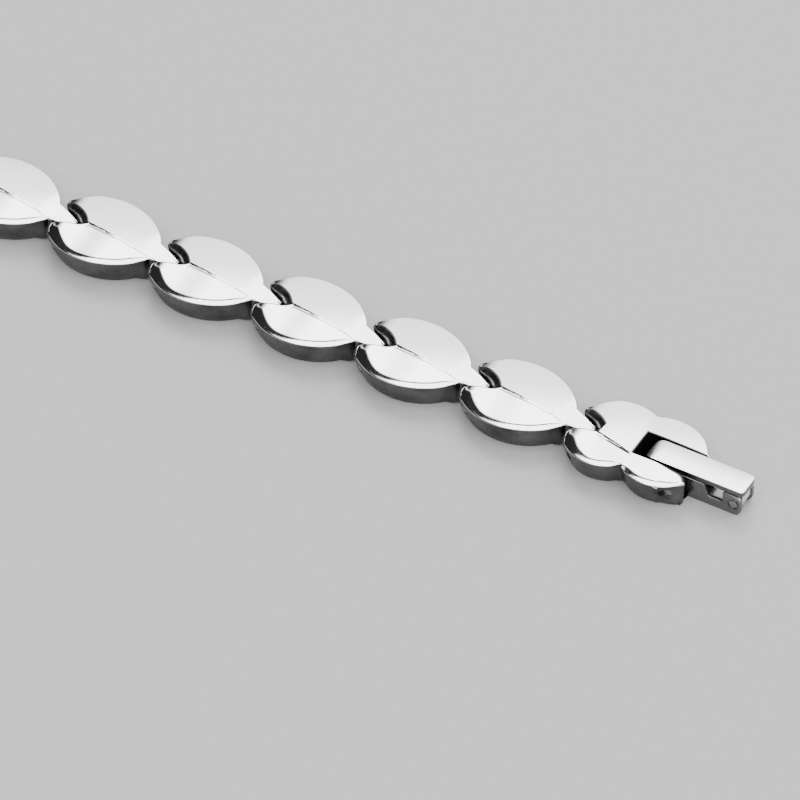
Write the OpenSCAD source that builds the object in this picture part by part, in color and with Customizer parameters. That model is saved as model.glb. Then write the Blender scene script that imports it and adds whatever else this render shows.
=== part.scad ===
// Magnetic bracelet of polished steel links, opened out and lying straight.
// The band runs along X with the clasp at +X, Y is across it and Z is up from what it lies on.
// Inside a link, x is counted from the middle of its outline.

/* [Band] */
// Number of regular links
link_count = 14; // [8:1:15]
// Distance from one link to the next
pitch = 12; // [11.6:0.2:13]

/* [Link] */
// Half of the width over the rims
half_width = 4.7; // [4.3:0.1:5.2]
// Radius of each of the two arcs of the outline
outline_r = 7.4; // [7:0.1:7.8]
// Height of the rim
rim_h = 3.2; // [3:0.1:3.6]
// Radius of the rounded rim
rim_r = 0.55; // [0.3:0.05:0.7]
// Angle at which the side wall leans in towards the base
wall_lean = 15; // [5:1:18]
// Radius of the slight dome of the top
dome_r = 80; // [60:5:120]
// Distance from the middle to the slanting ends of the horns, halfway out to the rim
horn_reach = 5.3; // [5.2:0.05:5.4]
// Slant of the horns' ends, as a step along the band for each step across it
horn_slant = 0.35; // [0.2:0.05:0.5]

/* [Notch] */
// Distance from the middle of a link to the point of its notch
notch_point = 2.53; // [2.3:0.05:2.7]
// Half of the notch's width near its mouth
notch_half_w = 1.2; // [1.1:0.05:1.3]
// Length of the pointed arch from its mouth to its point
notch_depth = 2.57; // [2.3:0.05:2.8]
// Width of the rolled edge round the notch
roll = 0.7; // [0.4:0.05:0.8]
// Half of the width of the mouth between the horn ends
mouth_half_w = 1.95; // [1.8:0.05:2.1]
// Distance from the arch's widest place to where the mouth begins to flare
mouth_in = 0.3; // [0.2:0.05:0.4]

/* [Petal] */
// Depth of the step along the crease at the point of the notch
petal_step = 0.22; // [0.1:0.02:0.3]
// Distance along the crease over which the step runs out
petal_run = 5; // [3:0.5:7]
// Angle of the crease to the band
crease_turn = 8.9; // [6:0.1:11]

/* [Tongue] */
// Half of the width of the tongue where it leaves the link
neck_half_w = 1.25; // [1.15:0.05:1.35]
// Half of the width of the tongue at its tip
tip_half_w = 0.5; // [0.4:0.05:0.6]
// Distance from the middle of a link to its neck
neck_x = 6.25; // [6:0.05:6.4]
// Radius of the nose of the tongue round the pin
nose_r = 0.95; // [0.8:0.05:1]
// Drop of the neck's top below the rim
neck_drop = 0.05; // [0:0.05:0.2]
// Angle from upright at which the nose meets the tongue's sloping top
nose_turn = 22; // [18:1:26]
// Reach of the tongue's root inside the link
root_in = 1.75; // [1.4:0.05:2]
// Drop of the root's top below the neck's
root_drop = 0.15; // [0.1:0.05:0.3]

/* [Pins] */
// Distance from the middle of a link to the pin through its horns
pin_back = 4.15; // [4:0.05:4.3]
// Height of the link pins
pin_h = 1.3; // [1.2:0.05:1.5]
// Diameter of the link pins
pin_d = 0.8; // [0.6:0.05:0.9]
// Depth of a pin's end below the side wall
pin_inset = 0.15; // [0.05:0.05:0.3]
// Radial gap round a pin that is held fast
fixed_gap = 0.02; // [0.01:0.01:0.04]
// Radial gap round a pin that something turns on
running_gap = 0.08; // [0.04:0.01:0.1]

/* [Magnet] */
// Diameter of the magnet in the back of a link
magnet_d = 4; // [3:0.1:4.4]
// Thickness of the magnet
magnet_t = 1.2; // [0.8:0.1:1.5]
// Depth of the magnet below the back of the link
magnet_inset = 0.1; // [0.05:0.05:0.2]
// Distance of the magnet from the middle of the link
magnet_x = 1.2; // [0.9:0.1:1.6]

/* [End link] */
// Radius of the lobes on the viewer's side
front_lobe_r = 4.8; // [4.7:0.05:5]
// Radius of the lobes on the far side
rear_lobe_r = 5.2; // [5:0.05:5.4]
// Distance from the link's middle back to the first lobe on the viewer's side
front_lobe_back = 1.5; // [1.3:0.05:1.7]
// Distance from the link's middle to the second lobe on the viewer's side
front_lobe_on = 4.6; // [4.4:0.05:4.7]
// Distance from the link's middle back to the first lobe on the far side
rear_lobe_back = 0.6; // [0.4:0.05:0.8]
// Distance from the link's middle to the second lobe on the far side
rear_lobe_on = 4.05; // [3.9:0.05:4.2]
// Distance from the link's middle to the end of the prongs
prong_end = 8.6; // [8.5:0.05:8.8]
// Half of the width of the slot between the prongs
slot_half_w = 1.63; // [1.55:0.02:1.8]
// Distance from the link's middle to the closed end of the slot
slot_x = 1.95; // [1.5:0.05:2.3]

/* [Far end link] */
// Distance from the middle of the far end link to its end
far_end = 5.2; // [5:0.1:5.6]
// Distance from the middle of the far end link to the closed end of its slot
far_slot_x = 1.6; // [1.4:0.1:2]

/* [Clasp] */
// Distance from the end link's middle to the pin that the clasp swings on
swing_x = 6.9; // [6.7:0.05:7]
// Height of the pin that the clasp swings on
swing_h = 1.7; // [1.6:0.05:1.8]
// Diameter of the clasp's two pins
clasp_pin_d = 0.9; // [0.7:0.05:1]
// Half of the width of the clasp
clasp_half_w = 1.42; // [1.36:0.02:1.46]
// Length from the swinging pin to the lever's hinge pin
lever_span = 6.2; // [6:0.1:6.6]
// Height of the lever's hinge pin
hinge_h = 1.35; // [1.25:0.05:1.4]
// Thickness of the clasp's side walls
side_t = 0.45; // [0.35:0.05:0.5]
// Thickness of the clasp's floor
floor_t = 0.5; // [0.4:0.05:0.6]
// Height of the side walls
side_h = 2.5; // [2.4:0.05:2.55]
// Height of the low stretch of the side walls
ledge_h = 1.1; // [0.9:0.05:1.2]
// Distance from the swinging pin to where the side walls drop
side_len = 3.05; // [2.8:0.05:3.2]
// Run of the drop's slope along the clasp
drop_run = 0.3; // [0.2:0.05:0.4]
// Length and depth of the cut corner at the top of the drop
corner_run = 0.35; // [0.25:0.05:0.45]
corner_drop = 0.4; // [0.3:0.05:0.5]
// Distance from the hinge pin back to the front of the ears
ear_back = 1.2; // [1.1:0.05:1.3]
// Radius of the round ends of the ears
ear_r = 0.85; // [0.8:0.05:0.95]
// Height of the ears
ear_h = 2.45; // [2.35:0.05:2.5]

/* [Lever] */
// Thickness of the lever's plate
lever_t = 0.6; // [0.45:0.05:0.7]
// Gap between the lever's plate and the side walls
lever_gap = 0.15; // [0.1:0.05:0.25]
// Reach of the lever's plate past the swinging pin, over the slot
lever_back = 3.7; // [3.5:0.05:3.8]
// Radius of the lever's barrel round its hinge pin
barrel_r = 0.75; // [0.65:0.05:0.8]
// Reach of the lever's plate past its hinge pin
lever_on = 1; // [0.9:0.05:1.1]
// Radius of the rounded corners of the lever's inner end
lever_corner_r = 0.7; // [0.4:0.05:0.9]
// Length of the snap lug under the lever
lug_len = 1; // [0.8:0.05:1.1]
// Depth of the snap lug below the plate
lug_drop = 0.7; // [0.5:0.05:0.8]
// Distance from the hinge pin back to the snap lug
lug_back = 1.5; // [1.4:0.05:1.7]
// Gap between the lever's inner pieces and the side walls
inner_gap = 0.1; // [0.05:0.01:0.15]

/* [Hidden] */
$fn = 96;
// Reach of a cutting shape past what it cuts
past = 1;
// Distance that keeps a line from grazing a circle
graze = 0.02;
// Facets of the dome's very large circle
dome_fn = 720;
// Rise of the top at the notch above the rim, and the height there
top_rise = 0.25;
top_h = rim_h + top_rise;
// Distance of an outline arc's centre from the band's axis
arc_off = outline_r - half_width;
// Centre of the notch's pointed arch along the link, and its radius
arch_x = -notch_point - notch_depth;
arch_r = (notch_depth * notch_depth + notch_half_w * notch_half_w) / (2 * notch_half_w);
arch_off = arch_r - notch_half_w;
// Place of the tongue's own pin, in the next link
tongue_pin_x = pitch - pin_back;
// Slope of the tongue's sides
tongue_tip_x = tongue_pin_x + nose_r;
tongue_taper = (neck_half_w - tip_half_w) / (tongue_tip_x - neck_x);
// Start of the tongue inside the link
tongue_root = neck_x - root_in;
// Underside of the tongue
tongue_low = pin_h - nose_r;
// Places of the clasp's parts, from the end link's middle
hinge_x = swing_x + lever_span;
lever_low = side_h + lever_gap;
lever_top = lever_low + lever_t;
lever_start = swing_x - lever_back;
lever_end = hinge_x + lever_on;
lug_half_w = clasp_half_w - side_t - inner_gap;
// The band's middle is at x = 0
far_x = -(pitch * (link_count + 1) - far_end + lever_end) / 2;

function two_digits(i) = str(i < 10 ? "0" : "", i);
function link_name(i) = str("link_", two_digits(i));
function link_pin_name(i) = str("link_pin_", two_digits(i));
function magnet_name(i) = str("magnet_", two_digits(i));
function station(i) = far_x + pitch * i;
// Distance of the side wall from the axis at a height, for an arc of radius r about a centre off the axis
function base_r(r) = r - rim_r + rim_r * cos(wall_lean) - wall_foot() * tan(wall_lean);
function wall_foot() = rim_h - rim_r - rim_r * sin(wall_lean);
function wall_r(r, h) = base_r(r) + h * tan(wall_lean);
function side_at(r, off, x, h) = sqrt(pow(wall_r(r, h), 2) - x * x) - off;
function lobe_at(r, x, h) = side_at(r, r - half_width, x, h);
// Place along the band of the horns' slanting ends, at a distance from the axis
function horn_end(off) = -horn_reach + horn_slant * (off - half_width / 2);

// Half section of a round body: leaning wall, rounded rim and slight dome.
// The wall and the dome lie a hair inside the rim's circle, so that they cross it instead of grazing it.
module body_section(r) {
    rim_x = r - rim_r;
    rim_z = rim_h - rim_r;
    dome_low = rim_z - sqrt(pow(dome_r - rim_r, 2) - rim_x * rim_x);
    dome_x = dome_r * rim_x / (dome_r - rim_r);
    polygon([[0, 0], [base_r(r) - graze, 0], [rim_x + rim_r * cos(wall_lean) - graze, wall_foot()],
             [rim_x, rim_z], [rim_x, rim_h - rim_r / 3], [0, rim_h - rim_r / 3]]);
    translate([rim_x, rim_z]) circle(rim_r);
    intersection() {
        translate([0, dome_low - graze]) circle(dome_r, $fn = dome_fn);
        translate([0, rim_z]) square([dome_x, dome_r]);
    }
}

module round_body(r, x, y) translate([x, y, 0]) rotate_extrude() body_section(r);

// Pointed oval that a regular link is cut from
module lens() {
    intersection() {
        round_body(outline_r, 0, arc_off);
        round_body(outline_r, 0, -arc_off);
    }
}

// Half section of the cut for one side of the notch, with its rolled edge
module notch_section() {
    difference() {
        translate([0, -past]) square([arch_r + roll, top_h + 3 * past]);
        translate([arch_r, -2 * past]) square([roll + past, top_h - roll + 2 * past]);
        translate([arch_r + roll, top_h - roll]) circle(roll);
    }
}

// Pointed notch with the flared mouth between the horns
module notch_cut() {
    intersection() {
        translate([arch_x, arch_off, 0]) rotate_extrude() notch_section();
        translate([arch_x, -arch_off, 0]) rotate_extrude() notch_section();
    }
    translate([0, 0, -past]) linear_extrude(top_h + 3 * past)
        polygon([[arch_x + mouth_in, -notch_half_w], [arch_x + mouth_in, notch_half_w],
                 [-horn_reach, mouth_half_w], [-horn_reach - 2 * past, mouth_half_w],
                 [-horn_reach - 2 * past, -mouth_half_w], [-horn_reach, -mouth_half_w]]);
}

// Cut that ends the horns, slanting back towards the outline
module horn_cut() {
    translate([0, 0, -past]) linear_extrude(top_h + 3 * past)
        polygon([[-2 * pitch, -2 * half_width], [horn_end(2 * half_width), -2 * half_width],
                 [horn_end(0), 0],
                 [horn_end(2 * half_width), 2 * half_width], [-2 * pitch, 2 * half_width]]);
}

// Thin layer that the front petal lies lower by, along the crease
module petal_cut() {
    translate([-notch_point + roll, 0, top_h - petal_step])
        rotate([0, 0, -crease_turn])
            rotate([0, -atan(petal_step / petal_run), 0])
                translate([-2 * past, -2 * half_width, 0]) cube([petal_run + 3 * past, 2 * half_width, 2 * past]);
}

// Bore or pin across the band
module across(d, x, h, length) {
    translate([x, length / 2, h]) rotate([90, 0, 0]) cylinder(d = d, h = length);
}

// Tapered tongue with a round nose about the pin in the next link
module tongue() {
    intersection() {
        translate([0, half_width, 0]) rotate([90, 0, 0]) linear_extrude(2 * half_width) {
            translate([tongue_pin_x, pin_h]) circle(nose_r);
            polygon([[tongue_root, tongue_low], [tongue_pin_x, tongue_low],
                     [tongue_pin_x, pin_h],
                     [tongue_pin_x + nose_r * sin(nose_turn), pin_h + nose_r * cos(nose_turn)],
                     [neck_x, rim_h - neck_drop], [tongue_root, rim_h - neck_drop - root_drop]]);
        }
        linear_extrude(top_h)
            polygon([[tongue_root, neck_half_w + tongue_taper * (neck_x - tongue_root)],
                     [tongue_tip_x + past, tip_half_w - tongue_taper * past],
                     [tongue_tip_x + past, -tip_half_w + tongue_taper * past],
                     [tongue_root, -neck_half_w - tongue_taper * (neck_x - tongue_root)]]);
    }
}

module link() {
    color("gainsboro") difference() {
        union() {
            lens();
            tongue();
        }
        notch_cut();
        horn_cut();
        petal_cut();
        across(pin_d + 2 * fixed_gap, -pin_back, pin_h, 3 * half_width);
        across(pin_d + 2 * running_gap, tongue_pin_x, pin_h, 3 * half_width);
        translate([magnet_x, 0, -past])
            cylinder(d = magnet_d + 2 * fixed_gap, h = past + magnet_inset + magnet_t + fixed_gap);
    }
}

module link_pin() {
    half = side_at(outline_r, arc_off, pin_back, pin_h) - pin_inset;
    color("silver") across(pin_d, -pin_back, pin_h, 2 * half);
}

// Pin between the last link's tongue and the end link
module last_pin() {
    half = min(lobe_at(front_lobe_r, front_lobe_back - pin_back, pin_h),
               lobe_at(rear_lobe_r, rear_lobe_back - pin_back, pin_h)) - pin_inset;
    color("silver") across(pin_d, -pin_back, pin_h, 2 * half);
}

module magnet() {
    color("dimgray") translate([magnet_x, 0, magnet_inset]) cylinder(d = magnet_d, h = magnet_t);
}

// One side of the double-lobed outline
module lobes(r, first, second, side) {
    off = r - half_width;
    intersection() {
        union() {
            round_body(r, first, -side * off);
            round_body(r, second, -side * off);
        }
        translate([-3 * half_width, side > 0 ? 0 : -3 * half_width, -past])
            cube([6 * half_width, 3 * half_width, top_h + 3 * past]);
    }
}

// Slot for the clasp, with the cut that ends the prongs beside it
module prong_cut() {
    translate([0, 0, -past]) linear_extrude(top_h + 3 * past)
        polygon([[slot_x, -slot_half_w], [prong_end, -slot_half_w], [prong_end, -3 * half_width],
                 [2 * pitch, -3 * half_width], [2 * pitch, 3 * half_width], [prong_end, 3 * half_width],
                 [prong_end, slot_half_w], [slot_x, slot_half_w]]);
}

module end_link() {
    color("gainsboro") difference() {
        union() {
            lobes(front_lobe_r, -front_lobe_back, front_lobe_on, -1);
            lobes(rear_lobe_r, -rear_lobe_back, rear_lobe_on, 1);
        }
        notch_cut();
        horn_cut();
        prong_cut();
        across(pin_d + 2 * fixed_gap, -pin_back, pin_h, 3 * half_width);
        across(clasp_pin_d + 2 * fixed_gap, swing_x, swing_h, 3 * half_width);
    }
}

module clasp_pin() {
    half = min(lobe_at(front_lobe_r, swing_x - front_lobe_on, swing_h),
               lobe_at(rear_lobe_r, swing_x - rear_lobe_on, swing_h)) - pin_inset;
    color("silver") across(clasp_pin_d, swing_x, swing_h, 2 * half);
}

module far_end_link() {
    color("gainsboro") difference() {
        union() {
            lens();
            tongue();
        }
        translate([-far_end - pitch, -3 * half_width, -past])
            cube([pitch, 6 * half_width, top_h + 3 * past]);
        translate([-far_end - past, -slot_half_w, -past])
            cube([far_end - far_slot_x + past, 2 * slot_half_w, top_h + 3 * past]);
        across(pin_d + 2 * fixed_gap, -pin_back, pin_h, 3 * half_width);
        across(pin_d + 2 * running_gap, tongue_pin_x, pin_h, 3 * half_width);
    }
}

module catch_pin() link_pin();

// Side view of the clasp's base: round knuckle, wall with its drop, ledge and ears
module base_side() {
    translate([swing_x, swing_h]) circle(side_h - swing_h);
    polygon([[swing_x - side_h + swing_h, swing_h], [swing_x - side_h + swing_h, floor_t],
             [swing_x, 0], [hinge_x, 0], [hinge_x, ledge_h], [swing_x + side_len + drop_run, ledge_h],
             [swing_x + side_len, side_h - corner_drop], [swing_x + side_len - corner_run, side_h], [swing_x, side_h]]);
    translate([hinge_x, ear_r]) circle(ear_r);
    translate([hinge_x, ear_h - ear_r]) circle(ear_r);
    translate([hinge_x - ear_back, 0]) square([ear_back, ear_h]);
    translate([hinge_x - ear_back, ear_r]) square([ear_back + ear_r, ear_h - 2 * ear_r]);
}

module clasp_base() {
    inner = clasp_half_w - side_t;
    color("darkgray") difference() {
        translate([0, clasp_half_w, 0]) rotate([90, 0, 0]) linear_extrude(2 * clasp_half_w) base_side();
        translate([swing_x + side_h - swing_h, -inner, floor_t])
            cube([lever_span + 2 * past, 2 * inner, side_h]);
        translate([hinge_x - ear_back, -inner, -past]) cube([ear_back + 2 * past, 2 * inner, side_h]);
        across(clasp_pin_d + 2 * running_gap, swing_x, swing_h, 3 * half_width);
        across(clasp_pin_d + 2 * fixed_gap, hinge_x, hinge_h, 3 * half_width);
    }
}

module hinge_pin() {
    color("silver") across(clasp_pin_d, hinge_x, hinge_h, 2 * clasp_half_w);
}

// Plan of the lever's plate, with its inner corners rounded
module lever_plan() {
    inner_end = lever_start + lever_corner_r;
    translate([inner_end, -clasp_half_w]) square([lever_end - inner_end, 2 * clasp_half_w]);
    translate([lever_start, -clasp_half_w + lever_corner_r])
        square([lever_corner_r + past, 2 * (clasp_half_w - lever_corner_r)]);
    for (side = [-1, 1]) translate([inner_end, side * (clasp_half_w - lever_corner_r)]) circle(lever_corner_r);
}

module clasp_cover() {
    color("gainsboro") difference() {
        union() {
            translate([0, 0, lever_low]) linear_extrude(lever_t) lever_plan();
            translate([hinge_x - barrel_r, -lug_half_w, hinge_h])
                cube([2 * barrel_r, 2 * lug_half_w, lever_low - hinge_h + lever_t / 2]);
            across(2 * barrel_r, hinge_x, hinge_h, 2 * lug_half_w);
            translate([hinge_x - lug_back - lug_len, -lug_half_w, lever_low - lug_drop])
                cube([lug_len, 2 * lug_half_w, lug_drop + lever_t / 2]);
        }
        across(clasp_pin_d + 2 * running_gap, hinge_x, hinge_h, 3 * half_width);
    }
}

translate([station(0), 0, 0]) far_end_link();
translate([station(0), 0, 0]) catch_pin();
for (i = [1:link_count]) translate([station(i), 0, 0]) link();
for (i = [1:link_count]) translate([station(i), 0, 0]) link_pin();
translate([station(link_count + 1), 0, 0]) last_pin();
for (i = [1:link_count]) translate([station(i), 0, 0]) magnet();
translate([station(link_count + 1), 0, 0]) end_link();
translate([station(link_count + 1), 0, 0]) clasp_pin();
translate([station(link_count + 1), 0, 0]) clasp_base();
translate([station(link_count + 1), 0, 0]) hinge_pin();
translate([station(link_count + 1), 0, 0]) clasp_cover();
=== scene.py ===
import math

import bmesh
import bpy
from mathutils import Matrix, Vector


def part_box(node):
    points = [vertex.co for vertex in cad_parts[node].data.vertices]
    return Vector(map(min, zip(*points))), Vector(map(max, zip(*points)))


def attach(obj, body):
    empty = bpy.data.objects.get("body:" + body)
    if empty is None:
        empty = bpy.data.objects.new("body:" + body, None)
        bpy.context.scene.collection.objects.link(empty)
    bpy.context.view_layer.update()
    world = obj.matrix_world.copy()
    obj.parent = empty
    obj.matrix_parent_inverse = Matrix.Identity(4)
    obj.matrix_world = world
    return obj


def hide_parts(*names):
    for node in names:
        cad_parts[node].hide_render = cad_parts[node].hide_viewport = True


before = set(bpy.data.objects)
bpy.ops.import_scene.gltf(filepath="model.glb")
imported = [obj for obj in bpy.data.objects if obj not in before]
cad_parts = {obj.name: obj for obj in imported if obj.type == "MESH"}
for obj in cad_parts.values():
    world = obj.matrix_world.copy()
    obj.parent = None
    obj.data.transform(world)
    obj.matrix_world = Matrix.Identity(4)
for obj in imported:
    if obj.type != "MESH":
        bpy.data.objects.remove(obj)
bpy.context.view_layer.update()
mm = 0.001
front, rear = -1, 1        # the viewer's side of the band is at -Y
sceneThings = bpy.context.scene.collection


def smoothStep(low, high, value):
    t = min(max((value - low) / (high - low), 0.0), 1.0)
    return t * t * (3 - 2 * t)


def mix(a, b, t):
    return a + (b - a) * t


def addObject(name, data):
    thing = bpy.data.objects.new(name, data)
    sceneThings.objects.link(thing)
    return thing


def bmMesh(bm, name, *materials):
    mesh = bpy.data.meshes.new(name)
    for material in materials:
        mesh.materials.append(material)
    bm.to_mesh(mesh)
    bm.free()
    return mesh


# Materials
grainSizes = {"patches": 350, "patchDetail": 4, "fineDetail": 3, "fineRoughness": 0.6}


def newMaterial(name):
    material = bpy.data.materials.new(name)
    material.use_nodes = True
    tree = material.node_tree
    tree.nodes.clear()
    out = tree.nodes.new("ShaderNodeOutputMaterial")
    shader = tree.nodes.new("ShaderNodeBsdfPrincipled")
    tree.links.new(shader.outputs["BSDF"], out.inputs["Surface"])
    return material, tree, shader


def addNode(tree, kind, inputs, **settings):
    # a node with its settings, and each input set or linked
    node = tree.nodes.new(kind)
    for name, value in settings.items():
        setattr(node, name, value)
    for name, value in inputs.items():
        if isinstance(value, bpy.types.NodeSocket):
            tree.links.new(value, node.inputs[name])
        else:
            node.inputs[name].default_value = value
    return node


def noiseNode(tree, scale, stretch=(1, 1, 1), detail=3.0, roughness=0.5):
    coord = tree.nodes.new("ShaderNodeTexCoord")
    mapping = addNode(tree, "ShaderNodeMapping", {"Scale": stretch, "Vector": coord.outputs["Object"]})
    return addNode(tree, "ShaderNodeTexNoise", {"Scale": scale, "Detail": detail, "Roughness": roughness,
                                                "Vector": mapping.outputs["Vector"]})


def spread(tree, source, low, high, fromLow=0.3, fromHigh=0.7, kind="LINEAR"):
    node = addNode(tree, "ShaderNodeMapRange", {"Value": source, "From Min": fromLow, "From Max": fromHigh,
                                                "To Min": low, "To Max": high}, interpolation_type=kind)
    return node.outputs["Result"]


def tint(tree, source, dark, light):
    node = addNode(tree, "ShaderNodeMix", {"Factor": source, "A": (*dark, 1), "B": (*light, 1)},
                   data_type="RGBA")
    return node.outputs["Result"]


def relief(tree, shader, source, strength, depth):
    node = addNode(tree, "ShaderNodeBump", {"Strength": strength, "Distance": depth, "Height": source})
    tree.links.new(node.outputs["Normal"], shader.inputs["Normal"])


def metal(name, dark, light, rough, grain, stretch, depth, strength):
    # broad patches of colour, and a fine grain in the gloss and the surface
    g = grainSizes
    material, tree, shader = newMaterial(name)
    shader.inputs["Metallic"].default_value = 1.0
    patches = noiseNode(tree, g["patches"], detail=g["patchDetail"])
    fine = noiseNode(tree, grain, stretch, g["fineDetail"], g["fineRoughness"])
    tree.links.new(tint(tree, spread(tree, patches.outputs["Fac"], 0, 1), dark, light),
                   shader.inputs["Base Color"])
    tree.links.new(spread(tree, fine.outputs["Fac"], rough[0], rough[1]), shader.inputs["Roughness"])
    relief(tree, shader, fine.outputs["Fac"], strength, depth)
    return material


mirrorSteel = metal("mirror_steel", dark=(0.80, 0.80, 0.81), light=(0.87, 0.87, 0.88), rough=(0.07, 0.12),
                    grain=2600, stretch=(1, 0.35, 1), depth=0.000004, strength=0.25)
# side walls: satin steel whose colour is painted nearly black, painted shade for walls that lie in shade
shadedSideSteel = metal("satin_side_steel_painted_shade", dark=(0.05, 0.05, 0.052), light=(0.14, 0.14, 0.143), rough=(0.24, 0.40),
                  grain=2200, stretch=(1, 1, 0.12), depth=0.00003, strength=0.5)
# notch's rolled rims, bores and recesses: satin steel whose dark colour is painted shade
shadedNotchSteel = metal("notch_steel_painted_shade", dark=(0.07, 0.07, 0.072), light=(0.15, 0.15, 0.153), rough=(0.24, 0.34),
                   grain=2000, stretch=(1, 1, 0.2), depth=0.00002, strength=0.4)
backSteel = metal("brushed_back_steel", dark=(0.52, 0.52, 0.53), light=(0.66, 0.66, 0.67), rough=(0.3, 0.45),
                  grain=2400, stretch=(0.06, 1, 1), depth=0.00003, strength=0.5)
# clasp channel, ears and bores: the lever's steel painted dark, painted shade on its sides and in its channel
shadedClaspSteel = metal("clasp_steel_painted_shade", dark=(0.13, 0.13, 0.133), light=(0.21, 0.21, 0.214), rough=(0.22, 0.34),
                   grain=2400, stretch=(0.08, 1, 1), depth=0.00002, strength=0.4)
coverSteel = metal("clasp_cover_steel", dark=(0.74, 0.74, 0.75), light=(0.84, 0.84, 0.85), rough=(0.16, 0.24),
                   grain=2400, stretch=(0.08, 1, 1), depth=0.00001, strength=0.35)
# lever's sides and far end: the cover steel a little rougher, and painted darker as shade
shadedLeverSide = metal("lever_side_steel_painted_shade", dark=(0.10, 0.10, 0.102), light=(0.17, 0.17, 0.173), rough=(0.2, 0.32),
                  grain=2400, stretch=(0.08, 1, 1), depth=0.00001, strength=0.35)
# pins: steel painted darker than the links' steel, painted shade on their sunken ends
shadedPinSteel = metal("pin_steel", dark=(0.20, 0.20, 0.204), light=(0.32, 0.32, 0.325), rough=(0.22, 0.34),
                 grain=3000, stretch=(1, 0.1, 1), depth=0.00002, strength=0.4)
magnetFace = metal("magnet_face", dark=(0.24, 0.24, 0.26), light=(0.34, 0.34, 0.36), rough=(0.35, 0.5),
                   grain=1800, stretch=(1, 1, 1), depth=0.00003, strength=0.4)
steels = [mirrorSteel, shadedSideSteel, shadedNotchSteel, backSteel]
topFinish, shadedWallFinish, shadedNotchFinish, backFinish = range(len(steels))
print("materials made")


# Rim of the viewer's side: (share of its width, tilt in degrees) from the leaf's edge to the wall
bandTilts = ((0, 2), (0.04, 12.5), (0.26, 16), (0.34, 22), (0.5, 23), (0.72, 25), (0.86, 29), (0.94, 40),
             (0.975, 56), (0.993, 72), (1, 88))


def slantingBand():
    # places on the band as shares of its width and of its fall
    places, fall = [], 0.0
    for (before, tiltBefore), (share, tilt) in zip(bandTilts, bandTilts[1:]):
        fall += (share - before) * math.tan(math.radians((tiltBefore + tilt) / 2))
        places.append((share, fall))
    return [(share, part / fall) for share, part in places]


# Plates
# A plate is a top of rows that run from an inner to an outer edge, with rounded rims,
# side walls and a base. Plan points are (x, v) with v the distance from the band's axis.
plateSizes = {"wallRows": 4, "footRound": 0.12, "footInset": 0.7, "bandFall": 0.5}


def placeKey(x, y):
    return (round(x, 4), round(y, 4))


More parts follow.
